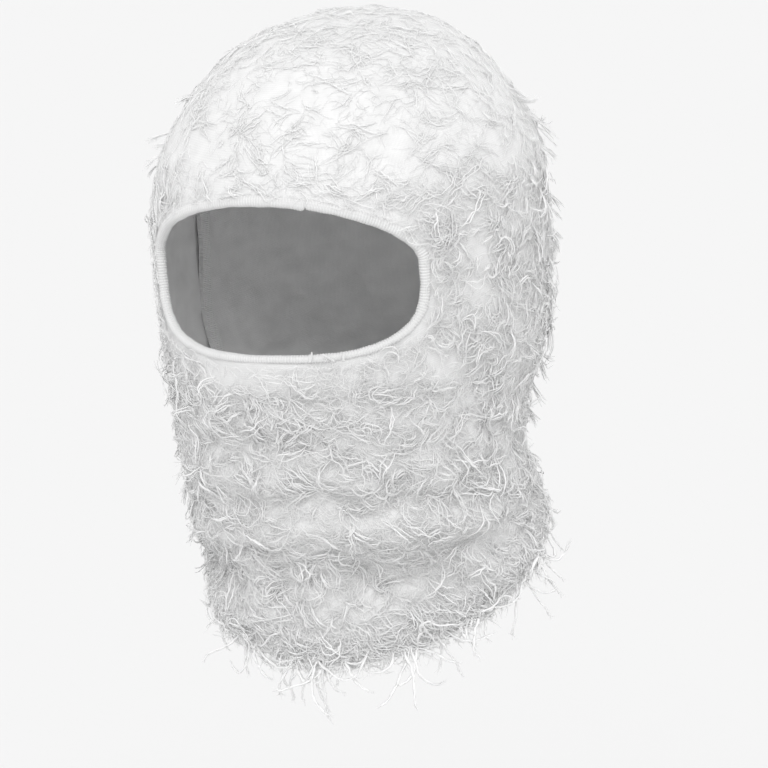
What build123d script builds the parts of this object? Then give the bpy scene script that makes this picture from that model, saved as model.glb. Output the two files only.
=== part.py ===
from build123d import *

# One-hole knitted balaclava with a distressed, shaggy surface of loose yarns.
#
# Millimetres. +Z runs up through the crown, -Y is where the face looks and +X is the wearer's
# left. The origin is the middle of the head, level with the brow, where the hood is widest.

import os
from math import atan, atan2, copysign, cos, degrees, pi, sin
from random import Random

# The knitted body, as it is stretched over a head and a neck
KNIT = 3.0              # ground knit with its floats
CROWN_Y = 16.0          # the top of the crown lies behind the middle of the head
CROWN_Z = 91.5
# Each section: height, how far its middle lies back, half width, half depth
SECTIONS = [
    (-232, 24, 79, 80),
    (-200, 22, 77.5, 80),
    (-165, 13, 76.5, 80),
    (-140, 3, 77.3, 79.5),
    (-115, -7, 76.8, 79),
    (-90, -9, 77.7, 84),
    (-60, -1, 84, 97),
    (-30, 0, 86, 103.5),
    (0, 0, 86, 105),
    (25, 2, 84, 102),
    (48, 2.5, 74.5, 89.5),
    (66, 4.5, 61.5, 75),
    (78.5, 8, 47.5, 59),
    (87, 13, 28.5, 37),
]

# The neck edge lies in one plane that drops from the nape to the chest
HEM_Z = -165.0          # height of that plane on the head's axis
HEM_SLOPE = 0.57
HEM_HEIGHT = 16.0
HEM_OUT = 1.5           # the turned edge stands this much proud of the knit
HEM_IN = 2.5

# The eye opening, seen from the front: a broad arch over a flatter lower edge
OPENING_HALF = 63.0
OPENING_TOP = 17.5
OPENING_LOW = -48.6
OPENING_TIP_Z = -11.0
TOP_POWER = 2.0         # 2 is an ellipse, and more is squarer
LOW_POWER = 3.6
OUTLINE_POINTS = 40
PRISM_NEAR = -30.0      # the opening's bar runs from here to well in front of the face
PRISM_LONG = 110.0

# The folded rib strip round the opening
BINDING_SIDE = 4.0      # width at the two ends, seen from the front, where the knit slants away
BINDING_EDGE = 5.5      # width along the top and the bottom
BINDING_OUT = 1.2
BINDING_IN = 1.2
BINDING_JOIN_X = 22.0
BINDING_JOIN_GAP = 0.4
BINDING_JOIN_HIGH = 20.0

# Seams and darts, on the inside
SEAM_Y = 10.0           # the side seams and the seam over the crown lie in this plane
SEAM_DEEP = 2.2
SEAM_HALF = 3.5
DART_HALF = 2.5
DART_LOW_Z = 48.0

# Blank care label inside the nape
LABEL_HALF = 14.0
LABEL_HIGH = 20.0
LABEL_GAP = 0.4
LABEL_THICK = 0.9

# Stitches that hold the turned neck edge
STITCH_COUNT = 60
STITCH_RADIUS = 0.45
STITCH_LONG = 5.0
STITCH_SINK = 0.35
STITCH_LIFT = 0.4
STITCH_LINE = 11.2      # the row of stitches lies this far above the neck edge

# Loose yarns of the shaggy surface
YARN_RADIUS = 0.6
YARN_BITE = 0.8         # how deep a yarn's end sits in the knit
BEND_OUT = 0.8          # share of a hanging yarn's reach that is made by its bend
BEND_DOWN = 0.3         # share of its drop, and of its lean, by then
FLOAT_SPAN = 15.0
FLOAT_HIGH = 3.2
TAIL_OUT = 5.0
TAIL_DROP = 9.0
TAIL_LEAN = 4.0
ROW_COUNT = 12
ROW_TOP_Z = 78.0
ROW_STEP = 22.0
YARN_SPACE = 21.0
HEAD_RADIUS = 105.0     # the roundness that a float's ends follow
YARN_EDGE = 12.0        # no yarn starts nearer than this to the binding or the hem
BACK_ANGLE = 125.0      # yarns further round than this belong to the back of the head
FACE_ANGLE = 50.0
NECK_TOP_Z = -100.0

# Yarn ends that hang from the neck edge
FRINGE_COUNT = 36
FRINGE_DROP = 15.0
FRINGE_OUT = 3.2
FRINGE_LEAN = 3.0
FRINGE_LINE = 5.3       # they leave the hem this far above the neck edge

os.makedirs("parts", exist_ok=True)


def head_form(grow):
    """The hood's surface, moved outwards by grow, as a solid."""
    with BuildPart() as form:
        for height, back, half_width, half_depth in SECTIONS:
            lift = grow * (max(height, 0) / CROWN_Z) ** 2
            with BuildSketch(Plane.XY.offset(height + lift)):
                with Locations((0, back)):
                    Ellipse(half_width + grow, half_depth + grow)
        loft(sections=[*form.pending_faces, Vertex(0, CROWN_Y, CROWN_Z + grow)])
    return form.part


def hem_plane(above=0.0):
    """The plane of the neck edge, or one that lies above it."""
    tilt = atan(HEM_SLOPE)
    edge = Plane(origin=(0, 0, HEM_Z), x_dir=(1, 0, 0), z_dir=(0, -sin(tilt), cos(tilt)))
    return edge.offset(above)


def outline_point(turn, side, edge):
    """A point of the opening's outline, seen from the front, with a margin round it."""
    upper = sin(turn) >= 0
    power = 2 / (TOP_POWER if upper else LOW_POWER)
    reach = OPENING_TOP - OPENING_TIP_Z if upper else OPENING_TIP_Z - OPENING_LOW
    x = (OPENING_HALF + side) * copysign(abs(cos(turn)) ** power, cos(turn))
    z = (reach + edge) * copysign(abs(sin(turn)) ** power, sin(turn))
    return (x, OPENING_TIP_Z + z)


def opening_prism(side=0.0, edge=0.0):
    """A bar through the front of the hood with the opening's outline."""
    face_plane = Plane(origin=(0, PRISM_NEAR, 0), x_dir=(1, 0, 0), z_dir=(0, -1, 0))
    turns = [2 * pi * k / OUTLINE_POINTS for k in range(OUTLINE_POINTS)]
    with BuildPart() as prism:
        with BuildSketch(face_plane):
            with BuildLine():
                Spline([outline_point(turn, side, edge) for turn in turns], periodic=True)
            make_face()
        extrude(amount=PRISM_LONG)
    return prism.part


# Forms and planes that more than one piece is cut from
outer = head_form(0)
inner = head_form(-KNIT)
seam_skin = head_form(-KNIT - SEAM_DEEP)
binding_outer = head_form(BINDING_OUT)
binding_inner = head_form(-KNIT - BINDING_IN)
hem_outer = head_form(HEM_OUT)
hem_inner = head_form(-KNIT - HEM_IN)
label_outer = head_form(-KNIT - LABEL_GAP)
label_inner = head_form(-KNIT - LABEL_GAP - LABEL_THICK)
opening = opening_prism()
opening_with_binding = opening_prism(BINDING_SIDE, BINDING_EDGE)
hem_top = hem_plane(HEM_HEIGHT)
seam_plane = Plane.XZ.offset(-SEAM_Y)


def skin(outside, inside, *cuts):
    """The skin between two forms, kept on one side of each of the planes in cuts."""
    with BuildPart() as core:
        add(inside)
        for plane, keep in cuts:
            split(bisect_by=plane, keep=keep)
    with BuildPart() as result:
        add(outside)
        for plane, keep in cuts:
            split(bisect_by=plane, keep=keep)
        add(core.part, mode=Mode.SUBTRACT)
    return result.part


# Front panel: face, brow and throat, with the eye opening cut in it
front_skin = skin(outer, inner, (hem_top, Keep.TOP), (seam_plane, Keep.TOP))
with BuildPart() as front_panel:
    add(front_skin)
    add(opening_with_binding, mode=Mode.SUBTRACT)
front_panel.part.label = "front_panel"
export_step(front_panel.part, "parts/front_panel.step")

# Back panel: back of the head and nape
back_skin = skin(outer, inner, (hem_top, Keep.TOP), (seam_plane, Keep.BOTTOM))
with BuildPart() as back_panel:
    add(back_skin)
back_panel.part.label = "back_panel"
export_step(back_panel.part, "parts/back_panel.step")

# Seam allowance that runs up one side, over the crown and down the other
seam_strip = skin(inner, seam_skin, (seam_plane.offset(SEAM_HALF), Keep.BOTTOM),
                  (seam_plane.offset(-SEAM_HALF), Keep.TOP), (hem_top, Keep.TOP))
with BuildPart() as side_and_crown_seam:
    add(seam_strip)
side_and_crown_seam.part.label = "side_and_crown_seam"
export_step(side_and_crown_seam.part, "parts/side_and_crown_seam.step")

# Dart seams in the front and the back of the crown
dart_cuts = [(Plane.YZ.offset(DART_HALF), Keep.BOTTOM), (Plane.YZ.offset(-DART_HALF), Keep.TOP),
             (Plane.XY.offset(DART_LOW_Z), Keep.TOP)]
front_strip = skin(inner, seam_skin, *dart_cuts, (seam_plane.offset(SEAM_HALF), Keep.TOP))
back_strip = skin(inner, seam_skin, *dart_cuts, (seam_plane.offset(-SEAM_HALF), Keep.BOTTOM))
with BuildPart() as front_crown_dart:
    add(front_strip)
front_crown_dart.part.label = "front_crown_dart"
export_step(front_crown_dart.part, "parts/front_crown_dart.step")
with BuildPart() as back_crown_dart:
    add(back_strip)
back_crown_dart.part.label = "back_crown_dart"
export_step(back_crown_dart.part, "parts/back_crown_dart.step")

# Folded rib strip round the eye opening, with the join of its two ends above the left eye
with BuildPart() as binding_core:
    add(binding_inner)
    add(opening_with_binding, mode=Mode.INTERSECT)
with BuildPart() as eye_binding:
    add(binding_outer)
    add(opening_with_binding, mode=Mode.INTERSECT)
    add(binding_core.part, mode=Mode.SUBTRACT)
    add(opening, mode=Mode.SUBTRACT)
    with Locations((BINDING_JOIN_X, PRISM_NEAR - PRISM_LONG / 2, OPENING_TOP)):
        Box(BINDING_JOIN_GAP, PRISM_LONG, BINDING_JOIN_HIGH, mode=Mode.SUBTRACT)
eye_binding.part.label = "eye_binding"
export_step(eye_binding.part, "parts/eye_binding.step")

# Turned neck edge, a soft band all the way round
hem_band = skin(hem_outer, hem_inner, (hem_top, Keep.BOTTOM), (hem_plane(), Keep.TOP))
with BuildPart() as neck_hem:
    add(hem_band)
neck_hem.part.label = "neck_hem"
export_step(neck_hem.part, "parts/neck_hem.step")

# Blank woven label that stands up from the neck hem, inside the nape
label_cuts = [(Plane.YZ.offset(LABEL_HALF), Keep.BOTTOM), (Plane.YZ.offset(-LABEL_HALF), Keep.TOP),
              (Plane.XZ, Keep.BOTTOM), (hem_top, Keep.TOP),
              (hem_plane(HEM_HEIGHT + LABEL_HIGH), Keep.BOTTOM)]
label_strip = skin(label_outer, label_inner, *label_cuts)
with BuildPart() as care_label:
    add(label_strip)
care_label.part.label = "care_label"
export_step(care_label.part, "parts/care_label.step")


def line_round(form, plane):
    """The closed line where a plane cuts a form."""
    return section(form, section_by=plane).faces()[0].outer_wire()


def place_on(line, share, plane):
    """A place on that line, with the way along it and the way out of the hood."""
    place = line.position_at(share)
    along = line.tangent_at(share)
    out = along.cross(plane.z_dir).normalized()
    if out.dot(place - line.center()) < 0:
        out = -out
    return place, along, out


def yarn(start, middle, end, radius=YARN_RADIUS):
    """One loose yarn, bent in a single arc."""
    with BuildPart() as strand:
        with BuildLine() as path:
            ThreePointArc(start, middle, end)
        with BuildSketch(Plane(origin=path.line @ 0, z_dir=path.line % 0)):
            Circle(radius)
        sweep()
    return strand.part.solid()


def float_yarn(place, along, out):
    """A float: it leaves the knit, bridges a span over it and goes back in."""
    half = along * FLOAT_SPAN / 2
    end_sink = out * (YARN_BITE + (FLOAT_SPAN / 2) ** 2 / (2 * HEAD_RADIUS))
    return yarn(place - half - end_sink, place + out * FLOAT_HIGH, place + half - end_sink)


def hanging_yarn(place, along, out, reach, drop, lean):
    """A yarn with one end in the knit, whose other end hangs out and down."""
    down = Vector(0, 0, -drop)
    bend = place + out * BEND_OUT * reach + (down + along * lean) * BEND_DOWN
    return yarn(place - out * YARN_BITE, bend, place + out * reach + down + along * lean)


def stitch(place, along, out):
    """One stitch of the neck edge, half sunk in its inner face."""
    half = along * STITCH_LONG / 2
    return yarn(place - half + out * STITCH_SINK, place - out * STITCH_LIFT,
                place + half + out * STITCH_SINK, STITCH_RADIUS)


def zone_of(place):
    """The zone of the hood that a place is in, or None near the eye opening or the hem."""
    if place.Z < HEM_Z + HEM_SLOPE * place.Y + HEM_HEIGHT + YARN_EDGE:
        return None
    low_side = OPENING_LOW - BINDING_EDGE - YARN_EDGE
    high_side = OPENING_TOP + BINDING_EDGE + YARN_EDGE / 2
    beside = abs(place.X) < OPENING_HALF + BINDING_SIDE + YARN_EDGE / 2
    if low_side < place.Z < high_side and place.Y < 0 and beside:
        return None
    if place.Z > high_side:
        return "crown"
    turn = degrees(atan2(place.X, -place.Y))
    if abs(turn) > BACK_ANGLE:
        return "back"
    if place.Z < NECK_TOP_Z:
        return "neck"
    if abs(turn) < FACE_ANGLE:
        return "face"
    return "left" if turn > 0 else "right"


# Loose yarns over the whole hood: floats and cut tails by turns, in rows
zones = {name: [] for name in ("crown", "left", "right", "back", "face", "neck")}
chance = Random(4)
for row in range(ROW_COUNT):
    level = Plane.XY.offset(ROW_TOP_Z - row * ROW_STEP)
    ring = line_round(outer, level)
    count = int(ring.length // YARN_SPACE)
    for k in range(count):
        place, along, out = place_on(ring, (k + row % 2 / 2) / count % 1, level)
        zone = zone_of(place)
        if zone and k % 2:
            zones[zone].append(float_yarn(place, along, out))
        elif zone:
            lean = chance.uniform(-TAIL_LEAN, TAIL_LEAN)
            zones[zone].append(hanging_yarn(place, along, out, TAIL_OUT, TAIL_DROP, lean))

for zone, strands in zones.items():
    with BuildPart() as zone_yarns:
        add(strands)
    zone_yarns.part.label = f"{zone}_yarns"
    export_step(zone_yarns.part, f"parts/{zone}_yarns.step")

# Fringe of yarn ends under the neck edge
fringe_level = hem_plane(FRINGE_LINE)
fringe_ring = line_round(hem_outer, fringe_level)
fringe_strands = []
for k in range(FRINGE_COUNT):
    place, along, out = place_on(fringe_ring, k / FRINGE_COUNT, fringe_level)
    drop = FRINGE_DROP * chance.uniform(0.7, 1.2)
    lean = chance.uniform(-FRINGE_LEAN, FRINGE_LEAN)
    fringe_strands.append(hanging_yarn(place, along, out, FRINGE_OUT, drop, lean))
with BuildPart() as hem_fringe:
    add(fringe_strands)
hem_fringe.part.label = "hem_fringe"
export_step(hem_fringe.part, "parts/hem_fringe.step")

# Stitches on the inside of the neck edge
stitch_level = hem_plane(STITCH_LINE)
stitch_ring = line_round(hem_inner, stitch_level)
stitches = []
for k in range(STITCH_COUNT):
    place, along, out = place_on(stitch_ring, k / STITCH_COUNT, stitch_level)
    stitches.append(stitch(place, along, out))
with BuildPart() as hem_stitches:
    add(stitches)
hem_stitches.part.label = "hem_stitches"
export_step(hem_stitches.part, "parts/hem_stitches.step")
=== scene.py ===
from math import cos, pi, radians, sin

import bmesh
import bpy
import numpy as np
from mathutils import Matrix, Vector


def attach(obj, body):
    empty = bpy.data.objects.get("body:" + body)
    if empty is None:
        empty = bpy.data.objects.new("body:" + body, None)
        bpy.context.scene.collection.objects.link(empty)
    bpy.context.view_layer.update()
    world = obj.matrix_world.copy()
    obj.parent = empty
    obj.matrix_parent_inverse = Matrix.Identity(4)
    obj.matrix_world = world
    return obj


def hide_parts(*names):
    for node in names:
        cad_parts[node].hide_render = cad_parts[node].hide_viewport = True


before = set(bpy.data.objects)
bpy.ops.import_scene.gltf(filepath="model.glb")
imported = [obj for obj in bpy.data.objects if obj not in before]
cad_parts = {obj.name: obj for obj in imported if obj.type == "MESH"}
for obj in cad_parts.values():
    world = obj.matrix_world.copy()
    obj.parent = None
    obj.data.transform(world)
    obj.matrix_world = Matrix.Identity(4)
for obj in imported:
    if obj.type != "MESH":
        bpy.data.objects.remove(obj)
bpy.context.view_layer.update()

MM = 0.001

# ---------------------------------------------------------------- sizes
# The hood's sections, in mm: height, how far the middle lies back, half width, half depth
SECTIONS = [
    (-232, 24, 79, 80), (-200, 22, 77.5, 80), (-165, 13, 76.5, 80), (-140, 3, 77.3, 79.5),
    (-115, -7, 76.8, 79), (-90, -9, 77.7, 84), (-60, -1, 84, 97), (-30, 0, 86, 103.5),
    (0, 0, 86, 105), (25, 2, 84, 102), (48, 2.5, 74.5, 89.5), (66, 4.5, 61.5, 75),
    (78.5, 8, 47.5, 59), (87, 13, 28.5, 37),
]
CROWN_Y, CROWN_Z = 16.0, 91.5
SEAM_Y = 10 * MM
WIDEST = 96 * MM              # mean of the half width and half depth at the brow, with a little to spare
HEM_Z, HEM_SLOPE = -165 * MM, 0.57
HEM_HEIGHT = 17 * MM
HEM_RISE = 2.7 * MM           # the turned edge stands this much higher than the knit above it
OPENING_HALF, OPENING_TOP, OPENING_LOW, OPENING_TIP_Z = 63 * MM, 17.5 * MM, -48.6 * MM, -11 * MM
TOP_POWER, LOW_POWER = 2.0, 3.6
BINDING_WIDE = 5.0 * MM
BINDING_LOW_WIDE = 3.4 * MM   # along the opening's lower edge
BINDING_THICK = 4.4 * MM
JOIN_X = 22 * MM              # where the two ends of the binding meet, on its upper edge
RIB_PITCH, STEPS_PER_RIB = 1.3 * MM, 5
WALES = 440                   # stitches round the hood
COURSE = 1.15 * MM            # height of a row of stitches
KNIT_THICK = 2.2 * MM
STITCH_PAINTED_SHADE = 0.22            # painted shade: how much darker the colour is painted in the gaps between stitches
LEG_SLOPE = 1.5               # how steeply a stitch's two legs rise, in rows for each stitch across
KNIT_LONG = 0.36              # length of the knit from the crown to the neck edge

# Loose yarns; radii and lengths are in mm
ZONES = ("crown", "left", "right", "back", "face", "neck")
HALVED = ("back", "neck")           # zones whose fuzz is made as a left and a right piece
FUZZ_COUNT, FLOAT_COUNT, TAIL_COUNT, STRAY_COUNT, RIM_COUNT = 34000, 2100, 850, 210, 3700
FUZZ_LENGTH, FLOAT_LENGTH, CROWN_FLOAT_LENGTH, TAIL_LENGTH = (4, 10), (8, 20), (10, 26), (6, 15)
STRAY_LENGTH, RIM_LENGTH, COLUMN_LENGTH = (12, 26), (4, 10), (5, 12)
FUZZ_RADIUS, RIM_RADIUS, TIP_RADIUS = (0.09, 0.17), (0.10, 0.26), 0.05
FLOAT_RADIUS, TAIL_RADIUS, TUFT_RADIUS = (0.17, 0.31), (0.16, 0.32), (0.20, 0.34)
STRAY_RADIUS, HANGING_RADIUS = (0.30, 0.44), (0.42, 0.55)
# Strands that lie side by side in one lock, and how far apart they start, in mm
FLOAT_PLIES, TAIL_PLIES, COLUMN_PLIES, STRAY_PLIES, TUFT_PLIES, LOCK_SPREAD = 3, 3, 2, 2, 6, 0.45
# A hanging end: its plies, how often they twist, and how far they lie from its middle, in mm
HANGING_PLIES, HANGING_TWISTS, HANGING_OFFSET = 2, 2.2, 0.30
FRAY_COUNT, FRAY_LONG = 7, 2.0      # fibres at a hanging end's tip, and their length in mm
CROWN_FINER = 0.2                   # how much finer the crown's yarns are
LEVEL_WANDER = 13 * MM              # how far the edge of the shaggy part wanders up and down
LOOPED = 0.25                       # share of the hanging ends that curl back up
COLUMNS = 16
KINK = 0.30                         # how sharply a strand wanders
LOWEST_END = -224 * MM              # no hanging end reaches lower than this
# Places where the knit shows: middle turn, middle height, reach round and reach up, in degrees and mm
BARE_PATCHES = [
    (-12, -58, 34, 7), (-30, 40, 22, 12), (52, -54, 9, 9), (5, 62, 16, 8), (40, 40, 8, 8),
    (-62, -20, 7, 22), (20, 38, 8, 7), (80, 30, 9, 8), (150, 30, 16, 12), (-140, 36, 18, 10),
    (-100, 20, 12, 12), (66, -14, 5, 26),
]
# Yarn ends that stand up from the opening's lower edge: turn and lean in degrees, length
EDGE_TUFTS = [(13.8, 8, 5.0), (20.5, -50, 8.0), (23.4, 5, 4.5), (18.0, 30, 3.0)]
# Tufts: turn in degrees, height, half the number of strands, length and how far they stand out
TUFTS = [
    (-66, 33, 12, 10, 8), (-62, 60, 9, 9, 6), (-64, -84, 6, 12, 8), (-66, -100, 6, 10, 6),
    (-66, -122, 7, 11, 7), (-64, -146, 7, 11, 7), (112, -66, 7, 12, 7), (110, -78, 9, 13, 8),
    (110, -92, 7, 12, 7), (104, -26, 12, 16, 4), (108, -40, 12, 16, 5), (110, -54, 9, 14, 5),
    (96, 26, 10, 12, 3), (102, -118, 6, 10, 6), (-150, -60, 8, 12, 6), (165, -90, 8, 12, 6),
    (-110, -70, 8, 12, 6), (60, -110, 5, 14, 5), (20, -130, 6, 16, 5), (5, -150, 7, 16, 5),
    (110, 42, 12, 12, 8), (112, 31, 12, 12, 8), (111, 6, 10, 13, 8), (113, -14, 10, 13, 8), (108, 58, 8, 9, 6),
]
# Bunches of hanging ends: turn in degrees, number of yarns and the longest of them
BUNCHES = [
    (-1, 7, 36), (-9, 6, 30), (10, 5, 22), (30, 6, 30), (38, 4, 24), (49, 5, 22), (61, 4, 20), (75, 7, 28),
    (83, 5, 24), (92, 6, 24), (105, 5, 20), (-25, 4, 32), (-33, 3, 24), (-44, 3, 22),
]

# Studio
FLOOR_HALF, FLOOR_Z = 60, -0.62
SURROUND = 0.88
SOFTBOX, SOFTBOX_WIDE, SOFTBOX_FROM = 1.30, 34, (0.42, -1.0, 0.95)   # strength, degrees across, direction

CAMERA_TURN = (23.74, 10.7, 2.62)       # azimuth, elevation and roll, in degrees
CAMERA_DISTANCE = 1.70
CAMERA_SHIFT = (0.01197, -0.02444)      # to the right and up, in metres
CAMERA_LENS = (36, 173.8)               # sensor's width and focal length, in mm
MIDDLE_Z = -0.055                       # height of the hood's middle

SEED = 7
chance = np.random.default_rng(SEED)


# ---------------------------------------------------------------- the hood's surface
def spline_table():
    """The hood's profile from the crown's top down, as dense arrays against the length along it."""
    below = [tuple(map(float, row)) for row in SECTIONS[::-1]]
    top = (CROWN_Z, CROWN_Y, 0.0, 0.0)
    mirror = [(z, 2 * CROWN_Y - y, -a, -b) for z, y, a, b in below[:1]]
    keys = np.array(mirror + [top] + below + [below[-1]])
    keys[-1, 0] -= 20
    rows = []
    for k in range(1, len(keys) - 2):
        p0, p1, p2, p3 = keys[k - 1:k + 3]
        gap = [max(1e-6, np.hypot(q[0] - p[0], (q[2] - p[2] + q[3] - p[3]) / 2))
               for p, q in ((p0, p1), (p1, p2), (p2, p3))]
        m1 = (p1 - p0) / gap[0] - (p2 - p0) / (gap[0] + gap[1]) + (p2 - p1) / gap[1]
        m2 = (p2 - p1) / gap[1] - (p3 - p1) / (gap[1] + gap[2]) + (p3 - p2) / gap[2]
        m1, m2 = m1 * gap[1], m2 * gap[1]
        t = np.linspace(0, 1, 40, endpoint=False)[:, None]
        rows.append((2 * t**3 - 3 * t**2 + 1) * p1 + (t**3 - 2 * t**2 + t) * m1
                    + (-2 * t**3 + 3 * t**2) * p2 + (t**3 - t**2) * m2)
    table = np.concatenate(rows) * MM
    step = np.hypot(np.diff(table[:, 0]), np.diff((table[:, 2] + table[:, 3]) / 2))
    return np.concatenate([[0], np.cumsum(step)]), table


LENGTH, PROFILE = spline_table()


def ring_at(s):
    """Height, middle, half width and half depth of the hood at a length s down from the crown."""
    return [np.interp(s, LENGTH, PROFILE[:, k]) for k in range(4)]


def bare(turn, s):
    """A point of the plain form: turn is 0 at the face and grows towards the wearer's left."""
    z, y, a, b = ring_at(s)
    return np.stack([a * np.sin(turn), y - b * np.cos(turn), z], -1)


def bare_frame(turn, s):
    """The plain form's directions: along the turn, down the profile and outwards."""
    a, b = ring_at(s)[2:]
    along = np.stack([a * np.cos(turn), b * np.sin(turn), 0 * turn], -1)
    along /= np.linalg.norm(along, axis=-1, keepdims=True) + 1e-9
    low, high = np.clip(s - 0.001, 0, None), s + 0.001
    down = bare(turn, high) - bare(turn, low)
    down /= np.linalg.norm(down, axis=-1, keepdims=True) + 1e-9
    out = np.cross(down, along)
    out /= np.linalg.norm(out, axis=-1, keepdims=True) + 1e-9
    return along, down, out


def girth_radius(turn, s):
    """How far a point moves for each radian of turn."""
    a, b = ring_at(s)[2:]
    return np.hypot(a * np.cos(turn), b * np.sin(turn)) + 1e-4


def hem_length(turn):
    """How far down the profile the neck edge is, at each turn."""
    s = np.full(np.shape(turn), LENGTH[-1] * 0.85)
    for _ in range(40):
        z, y, _, b = ring_at(s)
        s = s + 0.6 * (z - (HEM_Z + HEM_SLOPE * (y - b * np.cos(turn))))
        s = np.clip(s, 0.05, LENGTH[-1])
    return s


def ripples(points, wavelength, seed, count=14):
    """Smooth three-dimensional unevenness, about -1 to 1."""
    rng = np.random.default_rng(seed)
    waves = rng.normal(size=(count, 3))
    waves /= np.linalg.norm(waves, axis=1, keepdims=True)
    waves *= 2 * pi / wavelength * rng.uniform(0.7, 1.5, (count, 1))
    phase = rng.uniform(0, 2 * pi, count)
    return np.cos(points @ waves.T + phase).sum(-1) / np.sqrt(count / 2) / 1.6


def bump(turn, z, at_turn, at_z, wide, high):
    """A soft rise or hollow on the hood; its middle and reach are in degrees and mm."""
    dt = (np.degrees(turn) - at_turn + 180) % 360 - 180
    return np.exp(-(dt / wide) ** 2 - ((z / MM - at_z) / high) ** 2)


# Folds of the neck: middle turn, middle height, reach round, reach up, and how far out, in degrees and mm
FOLDS = [
    (48, -131, 32, 8, 4.0), (-35, -136, 30, 8, 2.2), (26, -157, 24, 12, -5.4), (70, -158, 22, 10, 3.4),
    (-8, -92, 16, 14, -2.8), (40, -104, 24, 9, 1.6), (-40, -104, 24, 8, 1.5), (10, -118, 30, 7, -2.0),
    (-20, -176, 26, 9, 2.0), (-45, -160, 22, 8, -3.0), (180, -96, 60, 8, 2.4), (150, -110, 26, 7, -2.4),
    (-155, -112, 26, 7, -2.6), (100, -118, 20, 7, 2.0), (-100, -116, 22, 7, 2.0), (115, -98, 18, 7, -1.8),
    (-118, -96, 20, 7, -1.8), (20, -72, 40, 7, -1.2), (0, -80, 50, 6, 0.9),
]


def lift(turn, s):
    """How far the knit lies out from the plain form: folds, stretch marks and lumps."""
    turn, s = np.broadcast_arrays(turn, s)
    points = bare(turn, s)
    z = points[..., 2]
    out = np.zeros(points.shape[:-1])
    for at_turn, at_z, wide, high, rise in FOLDS:
        out += 1.4 * rise * MM * bump(turn, z, at_turn, at_z, wide, high)
    low = np.clip((-z - 0.06) / 0.05, 0, 1)
    out += ripples(points, 0.034, 3) * (0.35 + 0.75 * low) * MM
    out += ripples(points * [1, 1, 2.2], 0.022, 5) * (0.35 + 0.45 * low) * MM
    out += ripples(points * [1, 1, 1.6], 0.012, 9) * (0.12 + 0.30 * low) * MM
    edge = np.clip(1 - np.abs(hem_length(turn) - s) / 0.022, 0, 1)
    return out * (1 - 0.6 * edge) + 1.2 * MM * edge


def hem_rise(turn, s):
    """How much higher the turned neck edge stands than the knit above it."""
    up_from_rim = (hem_length(turn) - s) / HEM_HEIGHT
    return HEM_RISE * np.clip(1 - ((up_from_rim - 0.5) / 0.62) ** 2, 0, 1) ** 0.5


def knit_point(turn, s, above=0.0):
    """A point that lies above the knit's surface by some height."""
    out = bare_frame(turn, s)[2]
    return bare(turn, s) + out * (lift(turn, s) + above)[..., None]


def opening_level(points, margin):
    """Under 1 inside the eye opening with a margin round it, over 1 outside."""
    x, y, z = points[..., 0], points[..., 1], points[..., 2]
    up = z > OPENING_TIP_Z
    reach = np.where(up, OPENING_TOP - OPENING_TIP_Z, OPENING_TIP_Z - OPENING_LOW) + margin
    power = np.where(up, TOP_POWER, LOW_POWER)
    level = (np.abs(x) / (OPENING_HALF + margin)) ** power + (np.abs(z - OPENING_TIP_Z) / reach) ** power
    return np.where(y < 0, level, 9.0)


def outline(round_share, margin):
    """Places on the opening's outline seen from the front, as turn and length down the profile."""
    angle = 2 * pi * round_share
    up = np.sin(angle) > 0
    power = 2 / np.where(up, TOP_POWER, LOW_POWER)
    reach = np.where(up, OPENING_TOP - OPENING_TIP_Z, OPENING_TIP_Z - OPENING_LOW) + margin
    x = (OPENING_HALF + 0.75 * margin) * np.sign(np.cos(angle)) * np.abs(np.cos(angle)) ** power
    z = OPENING_TIP_Z + reach * np.sign(np.sin(angle)) * np.abs(np.sin(angle)) ** power
    s = np.interp(-z, -PROFILE[:, 0], LENGTH)
    a = ring_at(s)[2]
    return np.arcsin(np.clip(x / a, -0.999, 0.999)), s


# ---------------------------------------------------------------- materials
def node_group(name, inputs, outputs):
    """An empty shader group with its sockets; gives the group, its nodes, links, start and end."""
    group = bpy.data.node_groups.new(name, "ShaderNodeTree")
    for socket, kind, default in inputs:
        made = group.interface.new_socket(socket, in_out="INPUT", socket_type="NodeSocket" + kind)
        if default is not None:
            made.default_value = default
    for socket, kind in outputs:
        group.interface.new_socket(socket, in_out="OUTPUT", socket_type="NodeSocket" + kind)
    nodes = group.nodes
    return group, nodes, group.links, nodes.new("NodeGroupInput"), nodes.new("NodeGroupOutput")


def math_node(nodes, links, kind, *values):
    node = nodes.new("ShaderNodeMath")
    node.operation = kind
    for slot, value in zip(node.inputs, values):
        if isinstance(value, (int, float)):
            slot.default_value = value
        else:
            links.new(value, slot)
    return node.outputs[0]


def jersey_group():
    """Stitches of a jersey knit: rows of small Vs, from a vector counted in stitches."""
    inputs = [("Stitches", "Vector", None)]
    group, nodes, links, start, end = node_group("jersey_stitches", inputs, [("Height", "Float")])
    split = nodes.new("ShaderNodeSeparateXYZ")
    links.new(start.outputs["Stitches"], split.inputs[0])
    column = math_node(nodes, links, "FRACT", split.outputs["X"])
    lean = math_node(nodes, links, "ABSOLUTE", math_node(nodes, links, "SUBTRACT", column, 0.5))
    leg = math_node(nodes, links, "SINE", math_node(nodes, links, "MULTIPLY", lean, 2 * pi))
    drop = math_node(nodes, links, "MULTIPLY", lean, LEG_SLOPE)
    row = math_node(nodes, links, "ADD", split.outputs["Y"], drop)
    wave = math_node(nodes, links, "SINE", math_node(nodes, links, "MULTIPLY", row, 2 * pi))
    rope = math_node(nodes, links, "MULTIPLY_ADD", wave, 0.28, 0.72)
    links.new(math_node(nodes, links, "MULTIPLY", leg, rope), end.inputs["Height"])
    return group


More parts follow.
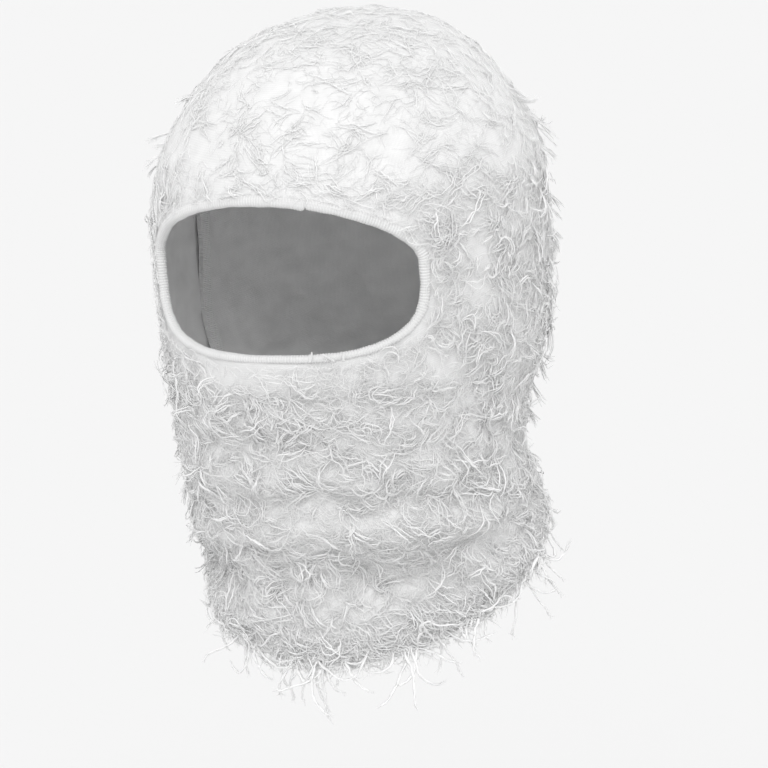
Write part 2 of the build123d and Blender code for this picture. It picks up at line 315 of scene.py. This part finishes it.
def mottle_group():
    """Slight differences of tone, as where fibres lie deeper, with their height."""
    inputs = [("Color", "Color", (0.8, 0.8, 0.8, 1)), ("Depth", "Float", 0.1), ("Scale", "Float", 100.0)]
    outputs = [("Color", "Color"), ("Height", "Float")]
    group, nodes, links, start, end = node_group("fibre_mottle", inputs, outputs)
    place = nodes.new("ShaderNodeTexCoord")
    noise = nodes.new("ShaderNodeTexNoise")
    noise.inputs["Detail"].default_value = 5
    links.new(place.outputs["Object"], noise.inputs["Vector"])
    links.new(start.outputs["Scale"], noise.inputs["Scale"])
    spread = nodes.new("ShaderNodeMapRange")
    spread.inputs["From Min"].default_value = 0.3
    spread.inputs["From Max"].default_value = 0.7
    links.new(noise.outputs["Fac"], spread.inputs["Value"])
    dark = math_node(nodes, links, "SUBTRACT", 1.0, spread.outputs["Result"])
    lost = math_node(nodes, links, "MULTIPLY", dark, start.outputs["Depth"])
    keep = math_node(nodes, links, "SUBTRACT", 1.0, lost)
    shade = nodes.new("ShaderNodeVectorMath")
    shade.operation = "SCALE"
    links.new(start.outputs["Color"], shade.inputs[0])
    links.new(keep, shade.inputs["Scale"])
    links.new(shade.outputs["Vector"], end.inputs["Color"])
    links.new(noise.outputs["Fac"], end.inputs["Height"])
    return group


def grain_group():
    """The fine bands of twisted or overlocked thread, as a normal."""
    inputs = [("Scale", "Float", 400.0), ("Strength", "Float", 0.4)]
    group, nodes, links, start, end = node_group("thread_grain", inputs, [("Normal", "Vector")])
    place = nodes.new("ShaderNodeTexCoord")
    wave = nodes.new("ShaderNodeTexWave")
    wave.bands_direction = "Z"
    wave.inputs["Distortion"].default_value = 1.5
    wave.inputs["Detail"].default_value = 2
    links.new(place.outputs["Object"], wave.inputs["Vector"])
    links.new(start.outputs["Scale"], wave.inputs["Scale"])
    relief = nodes.new("ShaderNodeBump")
    relief.inputs["Distance"].default_value = 0.3 * MM
    links.new(start.outputs["Strength"], relief.inputs["Strength"])
    links.new(wave.outputs["Fac"], relief.inputs["Height"])
    links.new(relief.outputs["Normal"], end.inputs["Normal"])
    return group


JERSEY, MOTTLE, GRAIN = jersey_group(), mottle_group(), grain_group()


def plain_material(name, color, rough, sheen):
    material = bpy.data.materials.new(name)
    material.use_nodes = True
    shader = material.node_tree.nodes["Principled BSDF"]
    shader.inputs["Base Color"].default_value = (*color, 1)
    shader.inputs["Roughness"].default_value = rough
    shader.inputs["Specular IOR Level"].default_value = 0.2
    shader.inputs["Sheen Weight"].default_value = sheen
    shader.inputs["Sheen Roughness"].default_value = 0.5
    return material, material.node_tree.nodes, material.node_tree.links, shader


def place_group(nodes, group, **values):
    """Put a group in a material with its own values."""
    node = nodes.new("ShaderNodeGroup")
    node.node_tree = group
    for name, value in values.items():
        node.inputs[name].default_value = value
    return node


def knit_material(name, color, strength, depth=0.10):
    """Jersey knit with a brushed, slightly felted face, and shade painted into the gaps between its stitches.
    """
    material, nodes, links, shader = plain_material(name, color, 0.92, 0.3)
    tone = place_group(nodes, MOTTLE, Color=(*color, 1), Depth=depth, Scale=130.0)
    felt = place_group(nodes, MOTTLE, Scale=900.0)
    stitches = nodes.new("ShaderNodeUVMap")
    knit = place_group(nodes, JERSEY)
    links.new(stitches.outputs["UV"], knit.inputs["Stitches"])
    # Painted shade: the colour is darkened in the gaps between stitches, following the stitches' height
    shade = nodes.new("ShaderNodeVectorMath")
    shade.operation = "SCALE"
    links.new(tone.outputs["Color"], shade.inputs[0])
    links.new(math_node(nodes, links, "MULTIPLY_ADD", knit.outputs["Height"], STITCH_PAINTED_SHADE, 1 - STITCH_PAINTED_SHADE),
              shade.inputs["Scale"])
    links.new(shade.outputs["Vector"], shader.inputs["Base Color"])
    both = math_node(nodes, links, "MULTIPLY_ADD", felt.outputs["Height"], 1.6, knit.outputs["Height"])
    relief = nodes.new("ShaderNodeBump")
    relief.inputs["Strength"].default_value = strength
    relief.inputs["Distance"].default_value = 0.6 * MM
    links.new(both, relief.inputs["Height"])
    links.new(relief.outputs["Normal"], shader.inputs["Normal"])
    return material


def fibre_material(name, color, sheen):
    """Soft acrylic yarn, with slight differences of tone."""
    material, nodes, links, shader = plain_material(name, color, 0.85, sheen)
    tone = place_group(nodes, MOTTLE, Color=(*color, 1), Depth=0.06, Scale=300.0)
    links.new(tone.outputs["Color"], shader.inputs["Base Color"])
    return material


def thread_material(name, color, scale, strength):
    """Smooth woven or overlocked trim with a fine grain."""
    material, nodes, links, shader = plain_material(name, color, 0.7, 0.2)
    grain = place_group(nodes, GRAIN, Scale=scale, Strength=strength)
    links.new(grain.outputs["Normal"], shader.inputs["Normal"])
    return material


GROUND = knit_material("white_jersey", (0.93, 0.93, 0.93), 0.28)
HEM_KNIT = knit_material("white_jersey_hem", (0.93, 0.93, 0.93), 0.28)
# Painted shade: the rib is set darker than the jersey, though it is the same white yarn, to hold down its
# brightness where the light falls on it
RIB = knit_material("white_rib", (0.84, 0.84, 0.84), 0.25, 0.04)
YARN = fibre_material("white_yarn", (0.95, 0.95, 0.95), 0.25)
FUZZ = fibre_material("white_fuzz", (0.94, 0.94, 0.94), 0.25)
SEAM = thread_material("white_overlock", (0.82, 0.82, 0.82), 350.0, 0.8)
LABEL = thread_material("white_satin_tape", (0.84, 0.84, 0.83), 900.0, 0.2)
THREAD = thread_material("white_thread", (0.84, 0.84, 0.84), 700.0, 0.4)


# ---------------------------------------------------------------- pieces
def new_piece(name, mesh, material, *nodes):
    """Name a finished mesh, give it its material and hide the CAD pieces it stands for."""
    mesh.name = name
    mesh.materials.clear()
    mesh.materials.append(material)
    mesh.polygons.foreach_set("use_smooth", [True] * len(mesh.polygons))
    piece = bpy.data.objects.new(name, mesh)
    bpy.context.collection.objects.link(piece)
    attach(piece, "root")
    if nodes:
        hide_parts(*nodes)
    return piece


def mesh_of(bm):
    mesh = bpy.data.meshes.new("mesh")
    bm.to_mesh(mesh)
    bm.free()
    return mesh


def unit_grid(across, up):
    """A flat grid with a UV map, one unit each way."""
    bm = bmesh.new()
    bm.loops.layers.uv.new("UVMap")
    bmesh.ops.create_grid(bm, x_segments=across, y_segments=up, size=0.5, calc_uvs=True)
    return bm


def scale_uvs(bm, across, up):
    """Count the UV map in stitches: across and up are how many the whole piece has."""
    layer = bm.loops.layers.uv.active
    for face in bm.faces:
        for loop in face.loops:
            loop[layer].uv = (loop[layer].uv.x * across, loop[layer].uv.y * up)


def set_places(bm, place):
    """Move every vertex of a unit grid to its place on the hood."""
    shares = np.array([v.co[:] for v in bm.verts])
    for vert, co in zip(bm.verts, place(shares[:, 0] + 0.5, shares[:, 1] + 0.5)):
        vert.co = co


def squared(angle_part, power):
    """A sine or a cosine, squarer or rounder by its power."""
    return np.sign(angle_part) * np.abs(angle_part) ** power


def knit_sheets():
    """The knitted body as one tube with a closed crown, cut in two along the side and crown seam."""
    bm = unit_grid(300, 170)
    top_share = 0.0015
    sink = 0.5 * MM
    crown_reach = 1.2 * MM

    def place(u, w):
        turn = 2 * pi * u - pi
        end = hem_length(turn) - 0.7 * HEM_HEIGHT
        return knit_point(turn, end * (top_share + (1 - top_share) * (1 - w)), -sink)

    set_places(bm, place)
    scale_uvs(bm, WALES, KNIT_LONG / COURSE)
    bmesh.ops.remove_doubles(bm, verts=bm.verts, dist=0.05 * MM)
    crown = [v for v in bm.verts if v.co.z > (CROWN_Z - 1) * MM and abs(v.co.x) < crown_reach
             and abs(v.co.y - CROWN_Y * MM) < crown_reach]
    bmesh.ops.pointmerge(bm, verts=crown, merge_co=Vector((0, CROWN_Y, CROWN_Z)) * MM)
    edge = BINDING_LOW_WIDE * 0.6
    inside = [f for f in bm.faces if opening_level(np.array(f.calc_center_median()), edge) < 1]
    bmesh.ops.delete(bm, geom=inside, context="FACES")
    bmesh.ops.recalc_face_normals(bm, faces=bm.faces)
    outward = sum(f.normal.x * f.calc_center_median().x for f in bm.faces)
    if outward < 0:
        bmesh.ops.reverse_faces(bm, faces=bm.faces)
    pieces = []
    for name, node, side in (("knit_front", "front_panel", 1), ("knit_back", "back_panel", -1)):
        half = bm.copy()
        bmesh.ops.bisect_plane(half, geom=half.verts[:] + half.edges[:] + half.faces[:], dist=1e-6,
                               plane_co=(0, SEAM_Y, 0), plane_no=(0, side, 0), clear_outer=True)
        piece = new_piece(name, mesh_of(half), GROUND, node)
        skin = piece.modifiers.new("knit thickness", "SOLIDIFY")
        skin.thickness = KNIT_THICK
        skin.offset = -1
        pieces.append(piece)
    bm.free()
    return pieces


def binding_width(share):
    """The strip is narrower along the opening's lower edge."""
    low = np.clip(-1.6 * np.sin(2 * pi * share), 0, 1)
    return BINDING_WIDE + (BINDING_LOW_WIDE - BINDING_WIDE) * low


def binding_piece():
    """The rib strip, folded over the opening's edge, with fine ribs across it."""
    shares = np.linspace(0, 1, 30001)
    line = bare(*outline(shares, binding_width(shares) / 2))
    run = np.concatenate([[0], np.cumsum(np.linalg.norm(np.diff(line, axis=0), axis=1))])
    ribs = int(round(run[-1] / RIB_PITCH))
    upper = shares < 0.5
    join = np.interp(-JOIN_X, -line[upper, 0], run[upper])
    bm = unit_grid(ribs * STEPS_PER_RIB + 1, 18)
    deep, rib_high = 1.3 * MM, 0.17 * MM
    # The join's gap, and how its two ends are offset
    notch_wide, step_high, step_long = 0.8 * MM, 0.35 * MM, 9 * MM

    def place(u, w):
        share = np.interp(u * run[-1], run, shares)
        wide = binding_width(share)
        turn, s = outline(share, wide / 2)
        way = bare(*outline((share + 1e-3) % 1, wide / 2)) - bare(*outline((share - 1e-3) % 1, wide / 2))
        way /= np.linalg.norm(way, axis=-1, keepdims=True)
        out = bare_frame(turn, s)[2]
        side = np.cross(out, way)
        side /= np.linalg.norm(side, axis=-1, keepdims=True)
        angle = 2 * pi * w
        wobble = 1 + 0.04 * np.sin(17 * share * 2 * pi) + 0.03 * np.sin(41 * share * 2 * pi + 1)
        past = u * run[-1] - join
        notch = np.exp(-(past / notch_wide) ** 2)
        step = step_high * np.exp(-np.abs(past) / step_long) * np.sign(past)
        rib = rib_high * np.cos(2 * pi * ribs * u)
        half = wide / 2 * wobble * (1 - 0.3 * notch) + rib
        thick = BINDING_THICK / 2 * wobble * (1 - 0.45 * notch) * (0.75 + 0.25 * wide / BINDING_WIDE) + rib
        across = squared(np.cos(angle), 0.85) * half + step
        rise = squared(np.sin(angle), 0.85) * thick - deep
        middle = bare(turn, s) + out * (lift(turn, s) * 0.5)[..., None]
        return middle + side * across[..., None] + out * rise[..., None]

    set_places(bm, place)
    scale_uvs(bm, ribs, 14)
    bmesh.ops.remove_doubles(bm, verts=bm.verts, dist=0.03 * MM)
    bmesh.ops.recalc_face_normals(bm, faces=bm.faces)
    return new_piece("rib_binding", mesh_of(bm), RIB, "eye_binding")


def hem_piece():
    """The turned neck edge: a soft, uneven roll all the way round."""
    bm = unit_grid(360, 28)
    half_thick, deep = 3.4 * MM, 1.6 * MM

    def place(u, w):
        turn = 2 * pi * u - pi
        angle = 2 * pi * w
        s = hem_length(turn) - HEM_HEIGHT / 2 + HEM_HEIGHT / 2 * squared(np.cos(angle), 0.8)
        return knit_point(turn, s, squared(np.sin(angle), 0.8) * half_thick - deep)

    set_places(bm, place)
    scale_uvs(bm, WALES, 2.3 * HEM_HEIGHT / COURSE)
    bmesh.ops.remove_doubles(bm, verts=bm.verts, dist=0.05 * MM)
    bmesh.ops.recalc_face_normals(bm, faces=bm.faces)
    return new_piece("hem_roll", mesh_of(bm), HEM_KNIT, "neck_hem")


# ---------------------------------------------------------------- loose yarns
def strand_paths(turn, s, heading, length, curl, height, stand, steps, retry=True):
    """Paths of strands that lie on the knit: each is an array of points.

    heading is the way it sets off, from 0 along the turn to pi / 2 down; curl turns it on its way,
    height arches its middle over the knit, and stand lifts its free end. A strand that would cross
    the eye opening sets off the other way."""
    count = len(turn)
    share = np.linspace(0, 1, steps + 1)[None, :]
    kink = chance.normal(0, KINK * min(1, steps / 8), (count, steps + 1))
    way = heading[:, None] + curl[:, None] * share + kink
    step = length[:, None] / steps
    ahead = np.cumsum(np.cos(way) * step, 1) - np.cos(way[:, :1]) * step
    below = np.cumsum(np.sin(way) * step, 1) - np.sin(way[:, :1]) * step
    turns = turn[:, None] + ahead / girth_radius(turn, s)[:, None]
    free = s[:, None] + below
    rims = hem_length(turns) + 2 * MM
    downs = np.clip(free, 2 * MM, rims)
    above = height[:, None] * np.sin(pi * share) + stand[:, None] * share ** 1.4
    above += hem_rise(turns, downs) + binding_rise(bare(turns, downs))
    points = knit_point(turns, downs, above)
    points[..., 2] -= np.clip(free - rims, 0, None)
    crossing = ~clear_of_opening(points)
    if retry and crossing.any():
        again = [value[crossing] for value in (turn, s, heading + pi, length, curl, height, stand)]
        points[crossing] = strand_paths(*again, steps, retry=False)
    return points


def locks(plies, turn, s, heading, length, curl, height, stand, steps):
    """Strands as strand_paths makes them, a few side by side in each lock, and where each starts."""
    group = [np.repeat(value, plies) for value in (turn, s, heading, length, curl, height, stand)]
    count = len(group[0])
    group[0] = group[0] + chance.normal(0, LOCK_SPREAD, count) * MM / girth_radius(group[0], group[1])
    group[1] = group[1] + chance.normal(0, LOCK_SPREAD, count) * MM
    group[2] = group[2] + chance.normal(0, 0.10, count)
    group[3] = group[3] * chance.uniform(0.75, 1.1, count)
    group[6] = group[6] * chance.uniform(0.7, 1.1, count)
    return strand_paths(*group, steps), bare(group[0], group[1])


def binding_rise(points):
    """How much higher the binding stands than the knit beside it."""
    level = opening_level(points, BINDING_WIDE)
    return 1.3 * MM * np.clip((1.12 - level) / 0.1, 0, 1)


def strands_piece(name, paths, radii, material, *nodes):
    """Thin yarns along the paths, as one mesh."""
    profile = bpy.data.curves.new("yarn_section", "CURVE")
    section = profile.splines.new("POLY")
    section.points.add(2)
    for k, point in enumerate(section.points):
        point.co = (MM * cos(2 * pi * k / 3), MM * sin(2 * pi * k / 3), 0, 1)
    section.use_cyclic_u = True
    section_holder = bpy.data.objects.new("yarn_section", profile)
    bpy.context.collection.objects.link(section_holder)
    curve = bpy.data.curves.new(name, "CURVE")
    curve.dimensions = "3D"
    curve.bevel_mode = "OBJECT"
    curve.bevel_object = section_holder
    curve.use_fill_caps = True
    for points, radius in zip(paths, radii):
        spline = curve.splines.new("POLY")
        spline.points.add(len(points) - 1)
        flat = np.ones((len(points), 4))
        flat[:, :3] = points
        spline.points.foreach_set("co", flat.ravel())
        spline.points.foreach_set("radius", radius / MM)
    holder = bpy.data.objects.new(name + "_line", curve)
    bpy.context.collection.objects.link(holder)
    bpy.context.view_layer.update()
    mesh = bpy.data.meshes.new_from_object(holder.evaluated_get(bpy.context.evaluated_depsgraph_get()))
    bpy.data.objects.remove(holder)
    bpy.data.objects.remove(section_holder)
    return new_piece(name, mesh, material, *nodes)


def yarn_level(places):
    """Height by which the yarns change from smooth to shaggy: uneven round the sides and the back."""
    turn = np.abs(np.arctan2(places[..., 0], -places[..., 1]))
    round_the_side = np.clip((turn - 1.1) / 0.6, 0, 1)
    return places[..., 2] + LEVEL_WANDER * ripples(places, 0.085, 41) * round_the_side


def loftiness(places):
    """How far the yarns stand up: little over the crown, most round the jaw and the neck."""
    return np.interp(yarn_level(places), (-0.16, -0.06, 0.00, 0.03, 0.06), (1.1, 1.1, 0.80, 0.30, 0.20))


def bareness(turn, z):
    """How much of the knit shows, from 0 to nearly 1."""
    showing = np.zeros(np.shape(turn))
    for patch in BARE_PATCHES:
        showing = np.maximum(showing, 0.93 * bump(turn, z, *patch))
    return showing


def scatter(count, margin, crown_share):
    """Random places on the knit, clear of the eye opening, as turn and length down."""
    turns, downs = [], []
    total = 0
    while total < count:
        turn = chance.uniform(-pi, pi, count)
        s = chance.uniform(4 * MM, LENGTH[-1], count)
        z, _, a, b = ring_at(s)
        keep = chance.uniform(0, WIDEST, count) < (a + b) / 2
        keep &= s < hem_length(turn)
        keep &= opening_level(bare(turn, s), BINDING_WIDE + margin) > 1
        cover = np.interp(yarn_level(bare(turn, s)), (0.0, 0.035), (1, crown_share))
        keep &= chance.random(count) < cover * (1 - bareness(turn, z))
        turns.append(turn[keep])
        downs.append(s[keep])
        total += keep.sum()
    return np.concatenate(turns)[:count], np.concatenate(downs)[:count]


def zone_of(points):
    """Which zone each place is in, as a number in ZONES."""
    x, y, z = points[..., 0], points[..., 1], points[..., 2]
    turn = np.degrees(np.arctan2(x, -y))
    zone = np.where(turn > 0, 1, 2)
    zone = np.where(np.abs(turn) < 50, 4, zone)
    zone = np.where(z < -0.100, 5, zone)
    zone = np.where(np.abs(turn) > 125, 3, zone)
    return np.where(z > 0.030, 0, zone)


def taper(share, thick, thin):
    """A strand's radius along it, finer towards both ends."""
    return thin + (thick - thin) * np.sin(pi * np.clip(share, 0.08, 0.92))


def clear_of_opening(paths, margin=0.35):
    """Strands that stop short of the binding's inner edge."""
    return opening_level(paths, BINDING_WIDE * margin).min(1) > 1


def fuzz_paths(count):
    """Short fine fibres that lie almost flat, combed in patches."""
    turn, s = scatter(count, -1.5 * MM, 0.20)
    places = bare(turn, s)
    loft = loftiness(places)
    heading = 0.8 * ripples(places, 0.018, 21) + 0.7 * chance.normal(size=count)
    heading += np.where(chance.random(count) < 0.5, 0, pi)
    length = chance.uniform(*FUZZ_LENGTH, count) * MM
    curl = chance.normal(0, 1.3, count)
    height = (0.15 + chance.uniform(0, 1.1, count) * loft) * MM
    stand = np.where(chance.random(count) < 0.10, chance.uniform(0.5, 4.0, count), 0.1) * loft * MM
    return strand_paths(turn, s, heading, length, curl, height, stand, 4), places


def float_paths(count):
    """Floats: longer yarns that bridge sideways from one column of cut ends to the next."""
    turn, s = scatter(count, -1 * MM, 0.55)
    places = bare(turn, s)
    upper = places[:, 2] > 0.0
    loft = loftiness(places)
    heading = np.where(upper, 0.40, 0.55) * chance.normal(size=count) + 0.4 * ripples(places, 0.06, 31)
    heading += np.where(chance.random(count) < 0.5, 0, pi)
    crown_length, length = chance.uniform(*CROWN_FLOAT_LENGTH, count), chance.uniform(*FLOAT_LENGTH, count)
    length = np.where(upper, crown_length, length) * MM
    curl = chance.normal(0, 1.0, count) * np.where(upper, 0.9, 1.5)
    height = (0.35 + chance.uniform(0, 1.9, count) * loft) * MM
    stand = np.where(chance.random(count) < 0.3, chance.uniform(0.5, 4.5, count), 0) * loft * MM
    return locks(FLOAT_PLIES, turn, s, heading, length, curl, height, stand, 8)


def tail_paths(count):
    """Cut floats: yarn ends that hang down and curl."""
    turn, s = scatter(count, 1 * MM, 0.25)
    places = bare(turn, s)
    loft = loftiness(places)
    heading = pi / 2 + 0.9 * chance.normal(size=count)
    length = chance.uniform(*TAIL_LENGTH, count) * (0.6 + 0.4 * loft) * MM
    curl = chance.normal(0, 2.8, count)
    height = chance.uniform(0.3, 1.8, count) * loft * MM
    stand = chance.gamma(1.5, 1.7, count).clip(0.2, 8) * loft * MM
    return locks(TAIL_PLIES, turn, s, heading, length, curl, height, stand, 8)


def stray_paths(count):
    """Single thicker yarns that lie over the rest, some of them in rings."""
    turn, s = scatter(count, 3 * MM, 0.1)
    loft = loftiness(bare(turn, s))
    heading = chance.uniform(0, 2 * pi, count)
    length = chance.uniform(*STRAY_LENGTH, count) * MM
    curl = chance.normal(0, 1.6, count) + np.where(chance.random(count) < 0.2, 4.5, 0)
    height = chance.uniform(1.6, 3.6, count) * loft * MM
    stand = chance.gamma(1.4, 1.8, count).clip(0.3, 7) * loft * MM
    return locks(STRAY_PLIES, turn, s, heading, length, curl, height, stand, 14)


def rim_paths(count):
    """The soft fringe of fibres right round the neck edge."""
    turn = chance.uniform(-pi, pi, count)
    s = hem_length(turn) - chance.uniform(-1, 19, count) * MM
    heading = pi / 2 + 0.9 * chance.normal(size=count)
    length = chance.uniform(*RIM_LENGTH, count) * MM
    curl = chance.normal(0, 1.8, count)
    height = chance.uniform(0.2, 1.4, count) * MM
    stand = chance.gamma(1.3, 1.0, count).clip(0.1, 4) * MM
    return strand_paths(turn, s, heading, length, curl, height, stand, 6)


def column_paths():
    """Columns of cut ends that run down the crown, where the floats were cut."""
    turns, downs = [], []
    for column in range(COLUMNS):
        middle = 2 * pi * (column + 0.5) / COLUMNS
        for s in np.arange(0.03, 0.20, 0.0035):
            turns.append(middle + chance.normal(0, 0.03) + 0.06 * np.sin(s * 45 + column))
            downs.append(s + chance.uniform(0, 0.0035))
    turn, s = (np.array(turns) + pi) % (2 * pi) - pi, np.array(downs)
    keep = opening_level(bare(turn, s), BINDING_WIDE + 4 * MM) > 1
    turn, s = turn[keep], s[keep]
    places = bare(turn, s)
    loft = loftiness(places)
    count = len(turn)
    heading = pi / 2 + 0.7 * chance.normal(size=count)
    length = chance.uniform(*COLUMN_LENGTH, count) * MM
    curl = chance.normal(0, 1.6, count)
    height = (0.2 + chance.uniform(0.3, 1.4, count) * loft) * MM
    stand = chance.uniform(0, 2.2, count) * loft * MM
    return locks(COLUMN_PLIES, turn, s, heading, length, curl, height, stand, 6)


def tuft_paths():
    """Locks that stand out from the surface in a few places, each to a point."""
    tufts = []
    for turn, z, count, long, stand in TUFTS:
        for _ in range(2 * count // TUFT_PLIES):
            heading = pi / 2 + 0.6 * chance.normal()
            tufts.append((
                radians(turn + chance.normal(0, 2.5)), (z + chance.normal(0, 4)) * MM, heading,
                long * chance.uniform(0.6, 1.2) * MM, chance.normal(0, 1.0), MM,
                stand * chance.uniform(0.5, 1.2) * MM,
            ))
    turn, z, heading, length, curl, height, stand = np.array(tufts).T
    s = np.interp(-z, -PROFILE[:, 0], LENGTH)
    return locks(TUFT_PLIES, turn, s, heading, length, curl, height, stand, 8)


def edge_tuft_paths():
    """A few yarn ends that stand up from the opening's lower edge."""
    paths = []
    share = np.linspace(0, 1, 7)[:, None]
    for turn, lean, long in EDGE_TUFTS:
        at = np.array(radians(turn))
        s = np.interp(-(OPENING_LOW - 2 * MM), -PROFILE[:, 0], LENGTH)
        along, down, out = bare_frame(at, s)
        for _ in range(5):
            tilt = radians(lean) + chance.normal(0, 0.09)
            way = -down * cos(tilt) + along * sin(tilt) + out * 0.25
            start = bare(at, s) + out * 1.0 * MM + along * chance.normal(0, 0.25) * MM
            bow = along * chance.normal(0, 0.4) * MM
            paths.append(start + way * long * chance.uniform(0.7, 1.1) * MM * share + bow * np.sin(pi * share))
    return np.array(paths)


def loose_yarns():
    """Fuzz, floats and tails, gathered by zone."""
    fuzz, fuzz_at = fuzz_paths(FUZZ_COUNT)
    keep = clear_of_opening(fuzz)
    fuzz, zone, on_left = fuzz[keep], zone_of(fuzz_at[keep]), fuzz_at[keep, 0] > 0
    share = np.linspace(0, 1, fuzz.shape[1])
    for k, name in enumerate(ZONES):
        halves = (("_left_fuzz", on_left), ("_right_fuzz", ~on_left)) if name in HALVED else (("_fuzz", True),)
        for ending, side in halves:
            own = fuzz[(zone == k) & side]
            thick = chance.uniform(*FUZZ_RADIUS, len(own)) * MM
            strands_piece(name + ending, own, [taper(share, t, TIP_RADIUS * MM) for t in thick], FUZZ)
    rim = rim_paths(RIM_COUNT)
    share = np.linspace(0, 1, rim.shape[1])
    thick = chance.uniform(*RIM_RADIUS, len(rim)) * MM
    strands_piece("rim_fuzz", rim, [taper(share, t, TIP_RADIUS * MM) for t in thick], FUZZ)
    groups = []
    made = (
        (float_paths(FLOAT_COUNT), FLOAT_RADIUS), (tail_paths(TAIL_COUNT), TAIL_RADIUS),
        (column_paths(), FLOAT_RADIUS), (tuft_paths(), TUFT_RADIUS), (stray_paths(STRAY_COUNT), STRAY_RADIUS),
    )
    for (paths, at), radii in made:
        keep = clear_of_opening(paths)
        share = np.linspace(0, 1, paths.shape[1])
        for path, place in zip(paths[keep], zone_of(at[keep])):
            radius = chance.uniform(*radii) * MM
            radius *= 1 - CROWN_FINER * (place == 0)
            groups.append((place, path, taper(share, radius, 0.35 * radius)))
    for path in edge_tuft_paths():
        radius = chance.uniform(*TUFT_RADIUS) * MM
        groups.append((ZONES.index("face"), path, np.linspace(radius, 0.5 * radius, len(path))))
    for k, name in enumerate(ZONES):
        own = [g for g in groups if g[0] == k]
        strands_piece(name + "_loose_yarns", [g[1] for g in own], [g[2] for g in own], YARN, name + "_yarns")


def hanging_tail(turn, length, reach):
    """One yarn end that hangs from the neck edge and bends as it goes, with the way it ends."""
    at = np.array(turn)
    start = knit_point(at, hem_length(at) - 5 * MM, HEM_RISE)
    along, down, out = bare_frame(at, hem_length(at))
    swing = chance.normal(0, 0.5)
    bend = chance.normal(0, 1.1) + (2.6 * chance.choice((-1, 1)) if chance.random() < LOOPED else 0)
    away = reach
    points = [start]
    steps = 12
    for _ in range(steps):
        swing += bend / steps + chance.normal(0, 0.16)
        away = away - 1.5 * reach / steps + chance.normal(0, 0.12)
        way = Vector(down * cos(swing) + along * sin(swing) + out * away)
        points.append(points[-1] + np.array(way.normalized()) * length / steps)
    points = np.array(points)
    room = (start[2] - LOWEST_END) / max(start[2] - points[:, 2].min(), 1e-6)
    return start + (points - start) * min(1, room), way.normalized(), along, out


def hem_tails():
    """Longer yarn ends under the neck edge, in uneven bunches, each of a few plies with a frayed tip."""
    bunches = list(BUNCHES)
    for turn in chance.uniform(115, 312, 12):
        bunches.append((turn, chance.integers(2, 6), chance.uniform(10, 20)))
    for turn in chance.uniform(-60, 112, 16):
        bunches.append((turn, 1, chance.uniform(6, 12)))
    paths, radii = [], []
    for turn, count, longest in bunches:
        for _ in range(count):
            at = radians(turn + chance.normal(0, 2.6))
            length = longest * chance.uniform(0.5, 1.1) * MM
            path, way, along, out = hanging_tail(at, length, chance.uniform(0.1, 0.9))
            share = np.linspace(0, 1, len(path))
            for ply in range(HANGING_PLIES):
                twist = 2 * pi * share * HANGING_TWISTS + pi * ply
                shift = np.outer(np.cos(twist), along) + np.outer(np.sin(twist), out)
                paths.append(path + shift * HANGING_OFFSET * MM)
                radii.append(np.full(len(path), chance.uniform(*HANGING_RADIUS) * MM))
            for _ in range(FRAY_COUNT):
                spread = np.array(way) + chance.normal(0, 0.40, 3)
                paths.append(path[-1] + np.outer(np.linspace(-0.4, 1, 4), spread * FRAY_LONG * MM))
                radii.append(np.linspace(0.22, 0.08, 4) * MM)
    return strands_piece("hem_tails", paths, radii, YARN, "hem_fringe")


# ---------------------------------------------------------------- the finished object
front_piece, back_piece = knit_sheets()
binding_piece()
hem_piece()
loose_yarns()
hem_tails()
for node, material in (("side_and_crown_seam", SEAM), ("front_crown_dart", SEAM), ("back_crown_dart", SEAM),
                       ("care_label", LABEL), ("hem_stitches", THREAD)):
    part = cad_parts[node]
    part.data.materials.clear()
    part.data.materials.append(material)


# ---------------------------------------------------------------- floor, light and camera
def studio():
    """A pale floor, an even white surround and one broad soft light."""
    bm = bmesh.new()
    bmesh.ops.create_grid(bm, x_segments=1, y_segments=1, size=FLOOR_HALF)
    floor = bpy.data.objects.new("floor", mesh_of(bm))
    floor.location.z = FLOOR_Z
    bpy.context.collection.objects.link(floor)
    paint = plain_material("pale_floor", (0.80, 0.80, 0.80), 0.9, 0.0)[0]
    floor.data.materials.append(paint)
    world = bpy.data.worlds.new("studio")
    world.use_nodes = True
    world.node_tree.nodes["Background"].inputs["Color"].default_value = (1, 1, 1, 1)
    world.node_tree.nodes["Background"].inputs["Strength"].default_value = SURROUND
    bpy.context.scene.world = world
    light = bpy.data.lights.new("softbox", "SUN")
    light.energy = SOFTBOX
    light.angle = radians(SOFTBOX_WIDE)
    lamp = bpy.data.objects.new("softbox", light)
    lamp.rotation_euler = (-Vector(SOFTBOX_FROM)).to_track_quat("-Z", "Y").to_euler()
    bpy.context.collection.objects.link(lamp)


def camera():
    """Seen from a little above and from the wearer's left."""
    azimuth, elevation, roll = map(radians, CAMERA_TURN)
    back = Vector((sin(azimuth) * cos(elevation), -cos(azimuth) * cos(elevation), sin(elevation)))
    level = Vector((cos(azimuth), sin(azimuth), 0))
    upright = back.cross(level)
    right = level * cos(roll) - upright * sin(roll)
    up = level * sin(roll) + upright * cos(roll)
    target = Vector((0, 0, MIDDLE_Z)) + right * CAMERA_SHIFT[0] + up * CAMERA_SHIFT[1]
    view = bpy.data.cameras.new("camera")
    view.sensor_width, view.lens = CAMERA_LENS
    eye = bpy.data.objects.new("camera", view)
    turn = Matrix((right, up, back)).transposed().to_4x4()
    eye.matrix_world = Matrix.Translation(target + back * CAMERA_DISTANCE) @ turn
    bpy.context.collection.objects.link(eye)
    bpy.context.scene.camera = eye


studio()
camera()
bpy.context.scene.view_settings.view_transform = "Standard"
